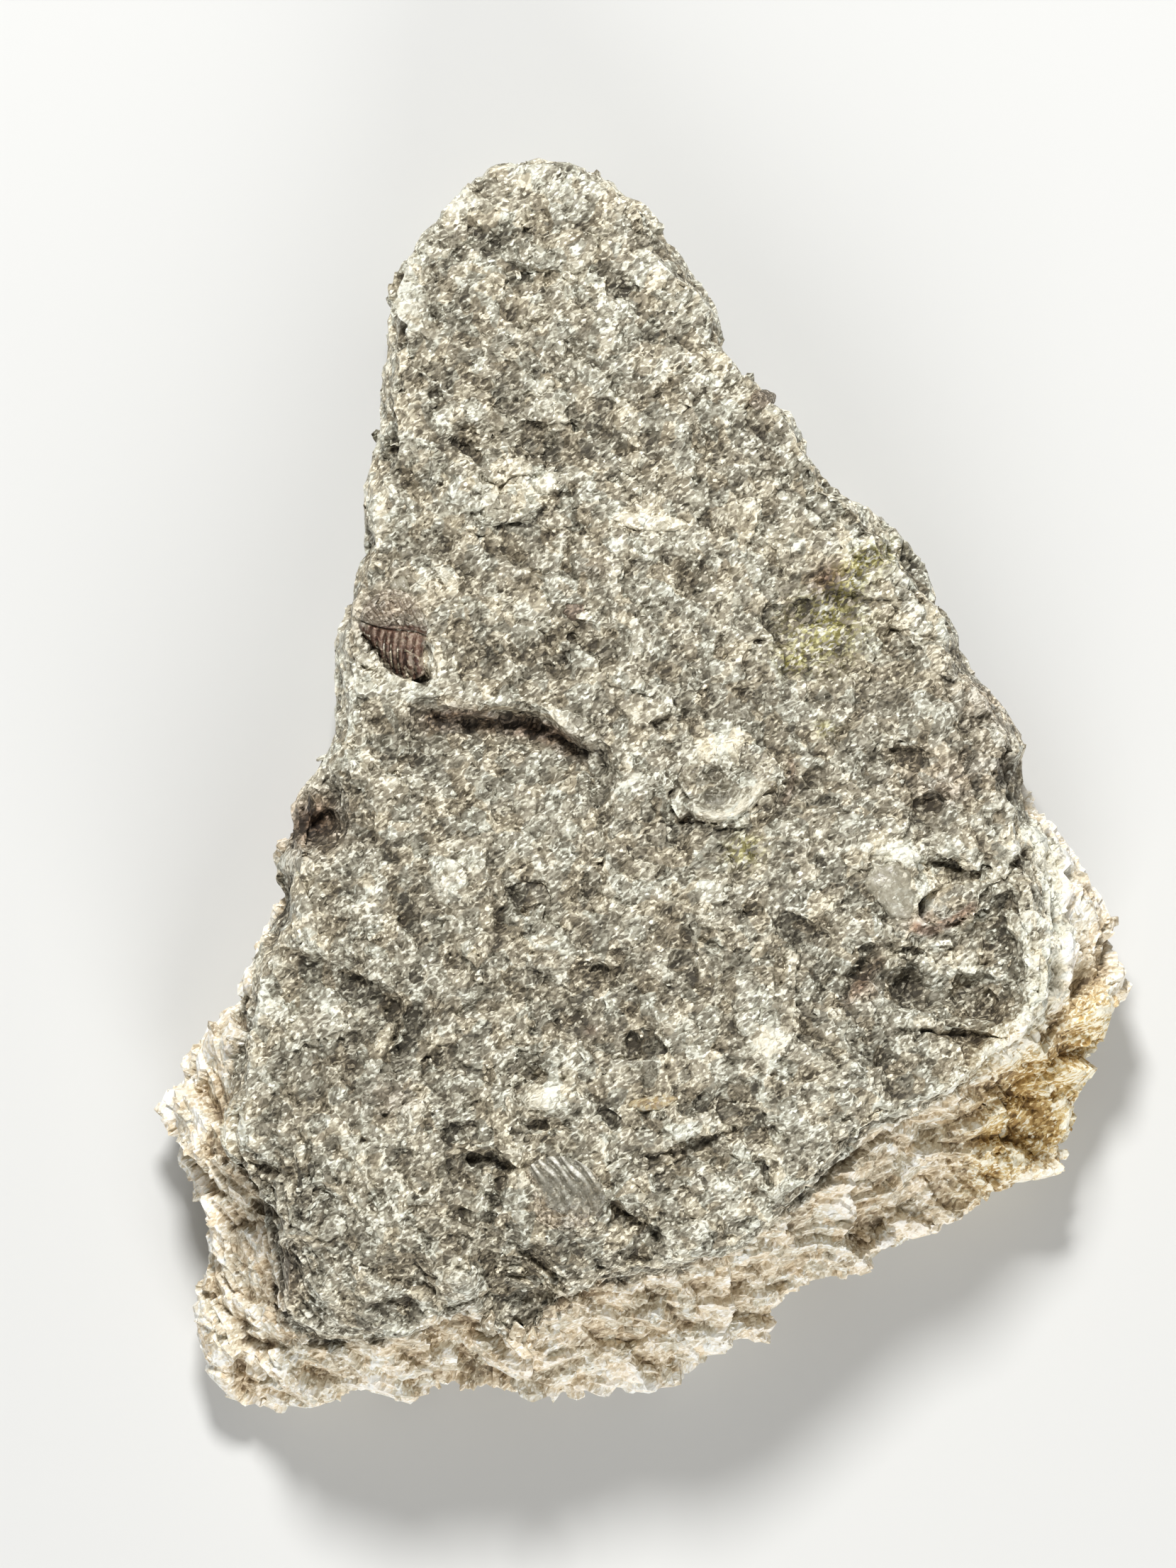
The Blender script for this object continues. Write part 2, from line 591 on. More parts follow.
# %% [markdown]
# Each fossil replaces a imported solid. It is a grid whose points are set by a function, like clay pressed
# into a mould, and its rim is pulled down into the stone so that it has no open edge. Four helpers do
# that: a place where the stone's surface is, a patch, its rim, and the naming of a finished piece.

# %% Standing on the stone
DOWN = Vector((0, 0, -1))


def tree_of(obj):
    return BVHTree.FromObject(obj, bpy.context.evaluated_depsgraph_get())


def heights(tree, x, y):
    """The height of a surface over each place, in millimetres, and -1000 where there is none."""
    found = []
    for place_x, place_y in zip(x, y):
        hit = tree.ray_cast(Vector((place_x * MM, place_y * MM, 0.1)), DOWN)
        found.append(hit[0].z / MM if hit[0] else -1000.0)
    return np.array(found)


def bed_in(piece, sunk=0.12, reach=3.5, most=0.7):
    """Lowers the stone where it would stand out over the piece by less than the most.

    The most may be a function of the place. Where it is small, the stone is left to lap over the rim.
    """
    points = read_points(stone)
    low, high = read_points(piece).min(axis=0), read_points(piece).max(axis=0)
    within = np.all((points[:, :2] > low[:2]) & (points[:, :2] < high[:2]), axis=1)
    facing = (points[:, 2] > low[2] - reach) & (read_points(stone, "normal")[:, 2] > -0.2)
    under = np.flatnonzero(within & facing)
    over = heights(tree_of(piece), points[under, 0], points[under, 1])
    allowed = most(*points[under, :2].T) if callable(most) else most
    hidden = (over > low[2]) & (points[under, 2] < over + allowed)
    points[under[hidden], 2] = np.minimum(points[under[hidden], 2], over[hidden] - sunk)
    write_points(stone, points)


def relief(obj, rounds):
    """How far each point stands out over its smoothed neighbourhood, in millimetres."""
    ends = np.empty(len(obj.data.edges) * 2, np.int32)
    obj.data.edges.foreach_get("vertices", ends)
    here = ends
    there = ends.reshape(-1, 2)[:, ::-1].reshape(-1)
    points = read_points(obj)
    count = np.maximum(np.bincount(here, minlength=len(points)), 1)
    eased = points.T
    for _ in range(rounds):
        eased = np.array([np.bincount(here, axis[there], len(points)) / count for axis in eased])
    return np.sum((points - eased.T) * read_points(obj, "normal"), axis=1)


skin = tree_of(stone)


def pressed_patch(name, surface, columns, rows, depth):
    """A grid of -1 to 1 moved to surface(u, v), with a skirt that goes down by the depth and a base."""
    bpy.ops.mesh.primitive_grid_add(x_subdivisions=columns, y_subdivisions=rows, size=2)
    obj = bpy.context.object
    obj.name = name
    u, v, _ = read_points(obj).T * MM
    write_points(obj, np.stack(surface(u, v), axis=1))
    bpy.ops.object.mode_set(mode="EDIT")
    bpy.ops.mesh.select_mode(type="EDGE")
    bpy.ops.mesh.select_all(action="DESELECT")
    bpy.ops.mesh.select_non_manifold(extend=False)
    bpy.ops.mesh.extrude_region_move(TRANSFORM_OT_translate={"value": (0, 0, -depth * MM)})
    bpy.ops.mesh.edge_face_add()
    bpy.ops.mesh.select_all(action="SELECT")
    bpy.ops.mesh.normals_make_consistent(inside=False)
    bpy.ops.object.mode_set(mode="OBJECT")
    bpy.ops.object.shade_smooth()
    return obj


def finished(obj, material, slot, *nodes):
    """Puts the finish on a piece and tells the frame what it rides on and stands for."""
    obj.data.materials.clear()
    obj.data.materials.append(material)
    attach(obj, "root")
    if nodes:
        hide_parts(*nodes)
    note(obj)


# %% [markdown]
# Colour comes next, because every piece needs it. Limestone under a lens is grains, each with its own
# shade, each catching the light on its own facet, and with pale cement between them. Three node groups
# make that at any size. The first gives the place, bent a little so that no grain is a neat cell. The
# second is a Voronoi pattern on it: a shade for each grain, and the height of its tilted facet for a
# bump. The third gives the thin lines where grains meet.

# %% Node groups for grains and the rims between them
def add_node(tree, kind, **settings):
    made = tree.nodes.new("ShaderNode" + kind)
    for name, value in settings.items():
        setattr(made, name, value)
    return made


def math_node(tree, operation, first, second=None, third=None):
    made = add_node(tree, "Math", operation=operation)
    for socket, value in zip(made.inputs, (first, second, third)):
        if isinstance(value, bpy.types.NodeSocket):
            tree.links.new(value, socket)
        elif value is not None:
            socket.default_value = value
    return made.outputs[0]


def new_group(name, inputs, outputs):
    tree = bpy.data.node_groups.new(name, "ShaderNodeTree")
    for label, kind, value in inputs:
        socket = tree.interface.new_socket(label, in_out="INPUT", socket_type="NodeSocket" + kind)
        if value is not None:
            socket.default_value = value
    for label, kind in outputs:
        tree.interface.new_socket(label, in_out="OUTPUT", socket_type="NodeSocket" + kind)
    start = tree.nodes.new("NodeGroupInput")
    end = tree.nodes.new("NodeGroupOutput")
    return tree, start.outputs, end.inputs


def vector_node(tree, operation, first, second=None, scale=None):
    made = add_node(tree, "VectorMath", operation=operation)
    for socket, value in zip((made.inputs[0], made.inputs[1], made.inputs[3]), (first, second, scale)):
        if isinstance(value, bpy.types.NodeSocket):
            tree.links.new(value, socket)
        elif value is not None:
            socket.default_value = value
    return made.outputs["Value"] if operation == "DOT_PRODUCT" else made.outputs[0]


GRAIN_HEADING = 36  # degrees: the way most of the stone's flecks lie
GRAIN_STRETCH = (0.62, 1.15, 1.0)


def make_bent_place():
    """The object's own coordinates in millimetres, bent by a noise so that no pattern on them is neat.

    The second output is stretched, so that patterns on it lie along the grain's heading.
    """
    tree, given, put = new_group("bent_place", (("Bend", "Float", 0.5), ("Size", "Float", 1.3)),
                                 (("Place", "Vector"), ("Along", "Vector")))
    place = vector_node(tree, "SCALE", add_node(tree, "TexCoord").outputs["Object"], scale=1 / MM)
    bend = add_node(tree, "TexNoise")
    bend.inputs["Detail"].default_value = 1
    tree.links.new(place, bend.inputs["Vector"])
    tree.links.new(math_node(tree, "DIVIDE", 1.0, given["Size"]), bend.inputs["Scale"])
    centred = vector_node(tree, "SUBTRACT", bend.outputs["Color"], (0.5, 0.5, 0.5))
    bent = vector_node(tree, "ADD", place, vector_node(tree, "SCALE", centred, scale=given["Bend"]))
    tree.links.new(bent, put["Place"])
    turn = add_node(tree, "VectorRotate", rotation_type="Z_AXIS")
    turn.inputs["Angle"].default_value = -math.radians(GRAIN_HEADING)
    tree.links.new(bent, turn.inputs["Vector"])
    tree.links.new(vector_node(tree, "MULTIPLY", turn.outputs[0], GRAIN_STRETCH), put["Along"])
    return tree


def make_grains():
    inputs = (("Place", "Vector", None), ("Size", "Float", 1.0), ("Seed", "Float", 0.0))
    outputs = (("Shade", "Float"), ("Other shade", "Float"), ("Facet", "Float"))
    tree, given, put = new_group("grains", inputs, outputs)
    in_sizes = vector_node(tree, "SCALE", given["Place"], scale=math_node(tree, "DIVIDE", 1.0, given["Size"]))
    seeded = vector_node(tree, "ADD", in_sizes, given["Seed"])
    cells = add_node(tree, "TexVoronoi", feature="F1")
    cells.inputs["Scale"].default_value = 1
    tree.links.new(seeded, cells.inputs["Vector"])
    parts = add_node(tree, "SeparateColor")
    tree.links.new(cells.outputs["Color"], parts.inputs[0])
    within = vector_node(tree, "SUBTRACT", seeded, cells.outputs["Position"])
    tilt = vector_node(tree, "SUBTRACT", cells.outputs["Color"], (0.5, 0.5, 0.5))
    tree.links.new(parts.outputs["Red"], put["Shade"])
    tree.links.new(parts.outputs["Green"], put["Other shade"])
    tree.links.new(vector_node(tree, "DOT_PRODUCT", within, tilt), put["Facet"])
    return tree


def make_rims():
    """1 on the thin lines between grains and 0 inside them. The width is a share of the size."""
    inputs = (("Place", "Vector", None), ("Size", "Float", 1.0), ("Width", "Float", 0.1), ("Seed", "Float", 0.0))
    tree, given, put = new_group("rims", inputs, (("Rim", "Float"),))
    in_sizes = vector_node(tree, "SCALE", given["Place"], scale=math_node(tree, "DIVIDE", 1.0, given["Size"]))
    edges = add_node(tree, "TexVoronoi", feature="DISTANCE_TO_EDGE")
    edges.inputs["Scale"].default_value = 1
    tree.links.new(vector_node(tree, "ADD", in_sizes, given["Seed"]), edges.inputs["Vector"])
    within = math_node(tree, "DIVIDE", edges.outputs["Distance"], given["Width"])
    rim = add_node(tree, "Clamp")
    tree.links.new(math_node(tree, "SUBTRACT", 1.3, within), rim.inputs[0])
    tree.links.new(rim.outputs[0], put["Rim"])
    return tree


bent_place = make_bent_place()
grains = make_grains()
rims = make_rims()
print("groups:", bent_place.name, grains.name, rims.name)

# %% [markdown]
# A material then adds up grains of several sizes, and a ramp turns the sum into stone colours. These
# helpers keep such materials short to write: grains of one size, a patch read from an attribute, a ramp,
# and a mix of two colours.

# %% Helpers for the stone's materials
def linear(red, green, blue):
    """A colour as a picture editor shows it, 0 to 255, turned into the scene's own linear numbers."""
    values = []
    for value in (red, green, blue):
        share = value / 255
        values.append(share / 12.92 if share <= 0.04045 else ((share + 0.055) / 1.055) ** 2.4)
    return (*values, 1.0)


def place_node(tree, bend=0.5, size=1.3):
    made = add_node(tree, "Group", node_tree=bent_place)
    made.inputs["Bend"].default_value = bend
    made.inputs["Size"].default_value = size
    return made.outputs


def grains_node(tree, place, size, seed):
    made = add_node(tree, "Group", node_tree=grains)
    tree.links.new(place, made.inputs["Place"])
    made.inputs["Size"].default_value = size
    made.inputs["Seed"].default_value = seed
    return made.outputs


def rims_node(tree, place, size, width, seed):
    made = add_node(tree, "Group", node_tree=rims)
    tree.links.new(place, made.inputs["Place"])
    made.inputs["Size"].default_value = size
    made.inputs["Width"].default_value = width
    made.inputs["Seed"].default_value = seed
    return made.outputs["Rim"]


def noise_node(tree, size, detail=3.0, seed=0.0):
    place = add_node(tree, "TexCoord")
    offset = add_node(tree, "Mapping")
    offset.inputs["Location"].default_value = (seed, seed, seed)
    made = add_node(tree, "TexNoise")
    made.inputs["Scale"].default_value = 1 / (size * MM)
    made.inputs["Detail"].default_value = detail
    tree.links.new(place.outputs["Object"], offset.inputs[0])
    tree.links.new(offset.outputs[0], made.inputs["Vector"])
    return made.outputs["Fac"]


def attribute_node(tree, name):
    return add_node(tree, "Attribute", attribute_name=name).outputs["Fac"]


def ramp_node(tree, value, stops):
    made = add_node(tree, "ValToRGB")
    elements = made.color_ramp.elements
    while len(elements) < len(stops):
        elements.new(0.5)
    for element, (position, colour) in zip(elements, stops):
        element.position = position
        element.color = colour
    tree.links.new(value, made.inputs["Fac"])
    return made.outputs["Color"]


def mix_node(tree, factor, first, second, blend="MIX"):
    made = add_node(tree, "Mix", data_type="RGBA", blend_type=blend)
    for socket, value in ((made.inputs[0], factor), (made.inputs[6], first), (made.inputs[7], second)):
        if isinstance(value, bpy.types.NodeSocket):
            tree.links.new(value, socket)
        else:
            socket.default_value = value
    return made.outputs[2]


def weighted(tree, *pairs):
    """The sum of values, each times its weight."""
    total = None
    for value, weight in pairs:
        if total is None:
            total = math_node(tree, "MULTIPLY", value, weight)
        else:
            total = math_node(tree, "MULTIPLY_ADD", value, weight, total)
    return total


def new_material(name):
    made = bpy.data.materials.new(name)
    made.use_nodes = True
    return made, made.node_tree, made.node_tree.nodes["Principled BSDF"].inputs


def bump(tree, height, shader):
    """Height in millimetres."""
    made = add_node(tree, "Bump")
    made.inputs["Distance"].default_value = MM
    made.inputs["Strength"].default_value = 1
    tree.links.new(height, made.inputs["Height"])
    tree.links.new(made.outputs["Normal"], shader["Normal"])


# %% [markdown]
# The grey bed runs from dark olive mud, through grey grains, to cream flecks and white glints. The pale
# bed is cream with a pink cast. Both are built here and mixed by the attribute that says which bed a
# point is in, and the patches come on top. The white grains are smoother, so they glint.

# %% The limestone
def stone_colours(tree):
    place, along = place_node(tree)
    coarse = grains_node(tree, place, 2.0, 3.0)
    middle = grains_node(tree, along, 0.75, 7.0)
    fine = grains_node(tree, along, 0.33, 11.0)
    rim = rims_node(tree, along, 0.95, 0.12, 5.0)
    patchy = noise_node(tree, 5.5, 4.0, 0.3)
    broken_rim = math_node(tree, "MULTIPLY", rim, middle["Other shade"])
    fleck = math_node(tree, "GREATER_THAN", fine["Shade"], 0.82)
    shade = weighted(
        tree, (coarse["Shade"], 0.09), (middle["Shade"], 0.20), (fine["Shade"], 0.28), (patchy, 0.43),
        (broken_rim, 0.26), (fleck, 0.12),
    )
    lifted = weighted(tree, (shade, 1.0), (attribute_node(tree, "white"), 0.26),
                      (attribute_node(tree, "dark"), -0.20), (attribute_node(tree, "lift"), 1.0))
    value = math_node(tree, "SUBTRACT", lifted, 0.10)
    streaks = fine["Other shade"]
    grey = ramp_node(tree, value, (
        (0.14, linear(58, 52, 40)), (0.30, linear(102, 95, 78)), (0.48, linear(146, 139, 121)),
        (0.64, linear(190, 185, 165)), (0.80, linear(240, 237, 220)),
    ))
    mottled = math_node(tree, "MULTIPLY_ADD", math_node(tree, "SUBTRACT", patchy, 0.5), 0.7, value)
    pale = ramp_node(tree, mottled, (
        (0.04, linear(125, 109, 86)), (0.22, linear(176, 160, 133)), (0.40, linear(210, 197, 171)),
        (0.59, linear(234, 225, 204)), (0.80, linear(254, 251, 243)),
    ))
    spar = attribute_node(tree, "spar")
    colour = mix_node(tree, spar, grey, pale)
    cast = ramp_node(tree, coarse["Other shade"], (
        (0.1, (0.955, 0.985, 1.01, 1)), (0.45, (1, 1, 1, 1)), (0.9, (1.04, 0.99, 0.925, 1)),
    ))
    colour = mix_node(tree, 1.0, colour, cast, "MULTIPLY")
    ochre = ramp_node(tree, value, (
        (0.12, linear(92, 66, 30)), (0.36, linear(176, 140, 78)), (0.53, linear(222, 196, 136)),
        (0.70, linear(253, 247, 224)),
    ))
    colour = mix_node(tree, clipped(tree, attribute_node(tree, "ochre"), patchy, 0.5), colour, ochre)
    moss = ramp_node(tree, value, (
        (0.15, linear(66, 60, 26)), (0.45, linear(128, 120, 64)), (0.75, linear(210, 204, 148)),
    ))
    flecked = math_node(tree, "GREATER_THAN", fine["Other shade"], 0.5)
    mossy = math_node(tree, "MULTIPLY", clipped(tree, attribute_node(tree, "moss"), streaks, 0.35), flecked)
    colour = mix_node(tree, mossy, colour, moss)
    rust = mix_node(tree, 0.75, colour, linear(168, 120, 96), "MULTIPLY")
    colour = mix_node(tree, clipped(tree, attribute_node(tree, "rust"), patchy, 0.2), colour, rust)
    height = weighted(tree, (middle["Facet"], 0.42), (fine["Facet"], 0.22), (broken_rim, 0.05))
    height = math_node(tree, "MULTIPLY", height, math_node(tree, "MULTIPLY_ADD", spar, -0.45, 1.0))
    return colour, value, height


def clipped(tree, mask, pattern, share):
    """A mask whose edge is broken up by a pattern."""
    broken = math_node(tree, "MULTIPLY_ADD", pattern, share * 2, -share)
    total = math_node(tree, "ADD", mask, math_node(tree, "MULTIPLY", broken, mask))
    made = add_node(tree, "Clamp")
    tree.links.new(total, made.inputs[0])
    return made.outputs[0]


def make_stone_finish(name, relief):
    made, tree, shader = new_material(name)
    colour, value, height = stone_colours(tree)
    tree.links.new(colour, shader["Base Color"])
    tree.links.new(math_node(tree, "MULTIPLY_ADD", value, -0.55, 0.86), shader["Roughness"])
    bump(tree, math_node(tree, "MULTIPLY", height, relief), shader)
    return made


limestone = make_stone_finish("limestone", 1.0)
shell_stone = make_stone_finish("shell_stone", 0.45)

# %% [markdown]
# The trilobite's tail shield is the piece that the specimen is kept for. Its middle lobe is ringed, and
# ribs run down from it over the flank, each a rounded bar between two sharp furrows. The grid's columns
# follow the ribs: u runs across them, and v from the lower margin, over the furrow, to the far rim.

# %% The trilobite's tail
FURROW = 0.36  # the v of the furrow between the flank and the middle lobe
RIBS = 9
LOWER_MARGIN = (
    (-33.2, 18.2), (-32.3, 17.0), (-31.4, 15.8), (-30.5, 14.7), (-29.5, 13.6), (-28.3, 12.9), (-27.0, 12.8),
    (-25.7, 13.4),
)
FURROW_LINE = (
    (-33.4, 19.9), (-32.4, 19.5), (-31.4, 19.2), (-30.4, 19.0), (-29.4, 18.9), (-28.2, 18.8), (-26.9, 18.7),
    (-25.5, 18.2),
)
FAR_RIM = (
    (-33.6, 20.4), (-33.0, 21.6), (-32.0, 22.6), (-30.8, 23.4), (-29.4, 23.6), (-28.0, 23.2), (-26.6, 22.0),
    (-25.4, 20.4),
)


def along_line(line, t):
    corners = placed(line)
    steps = np.linspace(0, 1, len(corners))
    return np.interp(t, steps, corners[:, 0]), np.interp(t, steps, corners[:, 1])


tail_low, tail_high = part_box("trilobite_tail")
TAIL_TOP = tail_high.z / MM
TAIL_FOOT = tail_low.z / MM


def tail_surface(u, v):
    s = (u + 1) / 2
    t = (v + 1) / 2
    down = np.clip((FURROW - t) / FURROW, 0, 1)
    over = np.clip((t - FURROW) / (1 - FURROW), 0, 1)
    low_x, low_y = along_line(LOWER_MARGIN, s)
    mid_x, mid_y = along_line(FURROW_LINE, s)
    far_x, far_y = along_line(FAR_RIM, s)
    x = mid_x + down * (low_x - mid_x) + over * (far_x - mid_x) - 0.4 * np.sin(np.pi * down) * (t < FURROW)
    y = mid_y + down * (low_y - mid_y) + over * (far_y - mid_y)
    ends = smoothstep(0, 0.08, s) * (1 - 0.4 * smoothstep(0.9, 1, s))
    beat = np.abs(np.sin(np.pi * (RIBS * s + 0.15 * np.sin(9 * s))))
    rib = beat**0.55
    flank = -0.5 * np.exp(-((down / 0.06) ** 2)) - 2.7 * down**1.3 * (1 - 0.5 * smoothstep(0.75, 1, s))
    flank += 0.6 * (rib - 0.6) * smoothstep(0.0, 0.12, down) * (1 - 0.4 * smoothstep(0.5, 0.75, s))
    dome = 0.8 * np.sin(np.pi * np.clip(over * 1.05, 0, 1)) ** 0.8 - 0.8 * over**3
    rings = np.abs(np.sin(np.pi * (13 * s + 3 * over)))
    points = np.stack([x, y, np.zeros(len(x))], axis=1)
    bumps = 0.5 * facets(points, 1.3, 3.0) + 0.3 * facets(points, 0.6, 5.0)
    dome += (0.14 * rings + bumps) * smoothstep(0, 0.12, over)
    z = TAIL_TOP - 0.75 + np.where(t < FURROW, flank + 0.2 * bumps, dome) - 0.7 * (1 - ends)
    return x, y, z


FINE = 1.0


def grid_counts(columns, rows):
    return int(columns * FINE), int(rows * FINE)


tail = pressed_patch("trilobite_tail_shield", tail_surface, *grid_counts(240, 150), 2.2)
points = read_points(tail)
print("tail top", round(points[:, 2].max(), 1), "mm, that of its solid", round(TAIL_TOP, 1), "mm")

# %% [markdown]
# A fossil's finish follows its relief: the tops of the ribs are worn to a greyish brown, and the shelter
# of the furrows and the lower ends stay dark red-brown. So the mesh stores how far each point's normal
# looks up, and how far down the flank it is. Where the shell itself is worn off, the finish goes over
# into the stone's own, so the mesh also stores how much of the shell is left. One function makes the
# finish of every shell: dull like horn or silver and satin, with its own colours and its own relief.

# %% The finish of shells
def dress(obj, **amounts):
    """Stores the patches of colour, with amounts of this piece's own on top."""
    points = read_points(obj)
    for name in PATCHES:
        store(obj, name, np.clip(patch(name, *points.T[:2]) + amounts.get(name, 0.0), 0, 1.3))
    worn = np.clip(0.35 * relief(obj, 8), -0.2, 0.2)
    store(obj, "lift", worn + amounts.get("lift", 0.0))
    store(obj, "spar", crystal_bed(points))


def make_shell(name, stops, gloss, relief=1.0):
    made, tree, shader = new_material(name)
    stone_colour, _, stone_height = stone_colours(tree)
    place = place_node(tree, 0.3, 0.6)["Place"]
    middle = grains_node(tree, place, 0.55, 4.0)
    fine = grains_node(tree, place, 0.25, 9.0)
    streaks = noise_node(tree, 1.1, 5.0, 0.9)
    value = weighted(tree, (attribute_node(tree, "crest"), 0.30), (streaks, 0.55), (middle["Shade"], 0.10),
                     (fine["Shade"], 0.14), (attribute_node(tree, "flank"), -0.26))
    left = clipped(tree, attribute_node(tree, "left"), middle["Other shade"], 0.6)
    tree.links.new(mix_node(tree, left, stone_colour, ramp_node(tree, value, stops)), shader["Base Color"])
    tree.links.new(math_node(tree, "MULTIPLY_ADD", streaks, 0.3, gloss), shader["Roughness"])
    bare = math_node(tree, "MULTIPLY_ADD", left, -0.6, 0.6)
    own = weighted(tree, (middle["Facet"], 0.10 * relief), (fine["Facet"], 0.06 * relief),
                   (streaks, 0.10 * relief))
    bump(tree, math_node(tree, "MULTIPLY_ADD", stone_height, bare, own), shader)
    return made


shield = make_shell("trilobite_shield", (
    (0.20, linear(38, 25, 19)), (0.36, linear(76, 52, 41)), (0.58, linear(116, 90, 74)),
    (0.82, linear(182, 164, 144)),
), 0.3)
on_flank = 1 - smoothstep(18.4, 19.2, points[:, 1])
store(tail, "flank", 1 - smoothstep(13.0, 18.5, points[:, 1]))
store(tail, "crest", smoothstep(0.55, 0.95, read_points(tail, "normal")[:, 2]))
store(tail, "left", 0.15 + 0.8 * on_flank * (1 - 0.5 * smoothstep(-27.2, -26.2, points[:, 0])))
dress(tail, rust=0.1 + 0.3 * on_flank, lift=0.08 * (1 - on_flank))
bed_in(tail, most=lambda x, y: 9 - 8.8 * smoothstep(18.6, 19.8, y))
finished(tail, shield, "trilobite_shield", "trilobite_tail")

# %% [markdown]
# The ribbed shell near the foot is the outside of a small ribbed clam-like shell. Its ribs run side by
# side from its upper left to its lower right and bend down as they go. Their crests are broken open at
# the top and white there. One furrow is given as a line, and how far a place lies to the right of it,
# in ribs, tells where on a rib it is. To the left and right the shell goes under the stone's crumbs.

# %% The ribbed shell
RIB_LINE = ((-8.6, -52.6), (-8.8, -50.3), (-9.2, -49.1), (-10.4, -47.1), (-11.8, -45.4), (-13.6, -43.4))
RIB_SPACING = 1.5
RIBBED_MIDDLE = (-9.3, -48.4)
RIBBED_HALF = (5.2, 4.3)
ribbed_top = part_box("ribbed_shell")[1].z / MM


def disc(u, v):
    return u * np.sqrt(1 - v * v / 2), v * np.sqrt(1 - u * u / 2)


def turned(x, y, degrees):
    angle = math.radians(degrees)
    return x * math.cos(angle) - y * math.sin(angle), x * math.sin(angle) + y * math.cos(angle)


def ribs_at(x, y):
    """The height of the ribs from 0 to 1, how clearly they show, and how far their tips are broken open."""
    line_x, line_y = placed(RIB_LINE).T
    ribs = (x - np.interp(y, line_y, line_x)) / RIB_SPACING + 0.12 * np.sin(1.9 * x)
    rib = np.abs(np.sin(np.pi * ribs))
    shown = smoothstep(-1.6, -0.7, ribs) * (1 - smoothstep(3.4, 4.2, ribs)) * smoothstep(-52.0, -49.0, y)
    tip = smoothstep(-47.4, -46.2, y + 0.25 * ribs) * smoothstep(0.55, 0.9, rib) * smoothstep(-1.4, -0.9, ribs)
    return rib, shown, tip


def ribbed_surface(u, v):
    a, b = disc(u, v)
    dx, dy = turned(a * RIBBED_HALF[0], b * RIBBED_HALF[1], -25)
    mx, my = placed(RIBBED_MIDDLE)
    x = mx + dx
    y = my + dy
    reach = np.hypot(a, b)
    rib, shown, tip = ribs_at(x, y)
    points = np.stack([x, y, np.zeros(len(x))], axis=1)
    rough = (0.6 - 0.5 * shown) * facets(points, 1.3, 3.0) + (0.25 - 0.18 * shown) * facets(points, 0.6, 5.0)
    z = ribbed_top - 1.05 + 0.6 * (1 - reach**2.4) + 0.4 * shown * (rib**1.3 - 0.5) + 0.2 * tip
    return x, y, z + rough - 0.3 * smoothstep(0.86, 1.0, reach)


ribbed = pressed_patch("ribbed_shell_valve", ribbed_surface, *grid_counts(150, 110), 2.0)

# %% [markdown]
# Shell material is silver-grey calcite with a satin shine, whiter where a rib's tip is broken open. The
# clear grey crystal beside the right hollow and a few small ovals have a horn finish: smooth, with less
# contrast than anything around them.

# %% The ribbed shell's finish, and horn
silver = make_shell("silver_shell", (
    (0.30, linear(92, 87, 74)), (0.50, linear(130, 126, 112)), (0.70, linear(166, 162, 148)),
    (0.90, linear(246, 243, 232)),
), 0.25)
horn = make_shell("horn", (
    (0.20, linear(128, 122, 104)), (0.42, linear(156, 150, 132)), (0.70, linear(196, 191, 174)),
), 0.22, 0.6)
points = read_points(ribbed)
rib, shown, tip = ribs_at(*points.T[:2])
store(ribbed, "crest", 0.3 * rib + 1.0 * tip)
store(ribbed, "left", 0.8 * shown + 0.2 * tip)
dress(ribbed, white=0.2 * (1 - shown), rust=0.3 * (1 - shown))
bed_in(ribbed, most=lambda x, y: 0.15 + 1.3 * ribs_at(x, y)[1])
finished(ribbed, silver, "shell", "ribbed_shell")

# %% [markdown]
# The crescent shell right of the middle is a bowl seen from its side: a thick bright lip curves around
# its lower right, the wall under the lip drops to the stone, and a small round pit is left in the bowl.
# The lip is a line on the face, and the height is worked out from the distance to that line.

# %% The crescent shell
LIP = ((6.2, -2.0), (7.0, -3.2), (8.9, -3.6), (11.1, -3.3), (12.9, -1.9), (14.3, -0.2), (15.4, 0.6))
PIT = (8.8, 1.4)
crescent_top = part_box("crescent_shell")[1].z / MM


def lip_at(x, y):
    """How far a place is outside the lip, and how much of the lip there is."""
    from_lip, along = line_field(x, y, LIP)
    return from_lip, smoothstep(0, 0.12, along) * (1 - smoothstep(0.85, 1, along))


def crescent_surface(u, v):
    a, b = disc(u, v)
    dx, dy = turned(a * 6.8, b * 5.4, 20)
    mx, my = placed((10.2, -0.1))
    x = mx + dx
    y = my + dy
    reach = np.hypot(a, b)
    from_lip, ends = lip_at(x, y)
    lip = 1.4 * ends * np.exp(-((from_lip / 0.65) ** 2))
    wall = -2.8 * smoothstep(0.5, 1.4, from_lip) * np.maximum(ends, 0.4)
    bowl = lump_mark(x, y, 9.2, -1.1, 2.6, 1.3, 25, -1.3) + lump_mark(x, y, *PIT, 0.8, 0.74, 0, -2.4)
    inside = from_lip < 0
    points = np.stack([x, y, np.zeros(len(x))], axis=1)
    crumbs = 0.5 * facets(points, 1.7, 3.0) + 0.25 * facets(points, 0.7, 5.0)
    crumbs *= smoothstep(1.0, 2.6, -from_lip)
    rim = -0.5 * smoothstep(0.75, 1.0, reach) * inside
    return x, y, crescent_top - 1.0 + lip + wall + bowl + crumbs + rim


